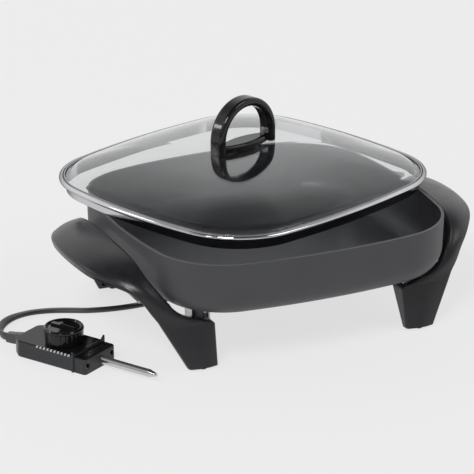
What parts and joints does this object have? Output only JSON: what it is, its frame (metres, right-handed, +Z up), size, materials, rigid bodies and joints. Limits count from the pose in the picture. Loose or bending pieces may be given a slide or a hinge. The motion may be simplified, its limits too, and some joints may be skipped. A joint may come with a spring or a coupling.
{
  "type": "electric skillet",
  "caption": "Deep square electric skillet on two moulded handles that form its feet, with a loose domed glass lid and a plug-in heat control with probe and dial.",
  "frame": {"origin": "on the floor, under the middle of the pan and between the four feet", "axes": "+X to the right handle, +Y to the back, +Z up"},
  "size_m": [0.4783, 0.3741, 0.2064],
  "materials": {
    "pan_coat": "charcoal non-stick coat, semi-matte",
    "element_steel": "matte sheath",
    "white_ceramic": "matte",
    "pin_steel": "bright",
    "guard_steel": "bright zinc",
    "handle_plastic": "black phenolic, semi-matte",
    "foot_rubber": "matte",
    "screw_steel": "bright zinc",
    "cord_vinyl": "satin",
    "blade_brass": "bright",
    "lid_glass": "clear, tempered",
    "rim_steel": "polished",
    "gloss_black": "gloss",
    "case_plastic": "satin gloss",
    "probe_steel": "polished",
    "contact_brass": "bright",
    "seal_rubber": "matte"
  },
  "bodies": {
    "skillet": {"pan": "pan_coat", "heating_element": "element_steel", "element_insulators": "white_ceramic", "element_pins": "pin_steel", "terminal_guard": "guard_steel", "guard_screws": "screw_steel", "left_handle": "handle_plastic", "right_handle": "handle_plastic", "foot_pads": "foot_rubber", "leg_brackets": "guard_steel", "leg_screws": "screw_steel", "cord_run": "cord_vinyl", "plug_body": "cord_vinyl", "plug_blades": "blade_brass"},
    "lid": {"lid_glass": "lid_glass", "lid_rim": "rim_steel", "lid_handle": "gloss_black", "lid_handle_seal": "seal_rubber", "lid_handle_screws": "screw_steel", "lid_handle_washers": "screw_steel"},
    "control": {"case_base": "case_plastic", "case_top": "case_plastic", "control_nose": "case_plastic", "probe": "probe_steel", "socket_contacts": "contact_brass", "thermostat_frame": "guard_steel", "contact_stack": "white_ceramic", "bimetal_blade": "contact_brass", "contact_blade": "contact_brass", "case_screws": "screw_steel", "strain_relief": "cord_vinyl"},
    "dial": {"dial_knob": "gloss_black", "dial_shaft": "pin_steel"}
  },
  "joints": [
    {"name": "lid_lift", "type": "slide", "parent": "skillet", "child": "lid", "axis": [0, 0, 1], "range_m": [0, 0.15]},
    {"name": "control_lift", "type": "slide", "parent": "skillet", "child": "control", "axis": [0, 0, 1], "range_m": [0, 0.045]},
    {"name": "dial_turn", "type": "hinge", "parent": "control", "child": "dial", "pos_m": [-0.22582, -0.03157, 0.02], "axis": [0, 0, 1], "range_deg": [0, 270]}
  ]
}
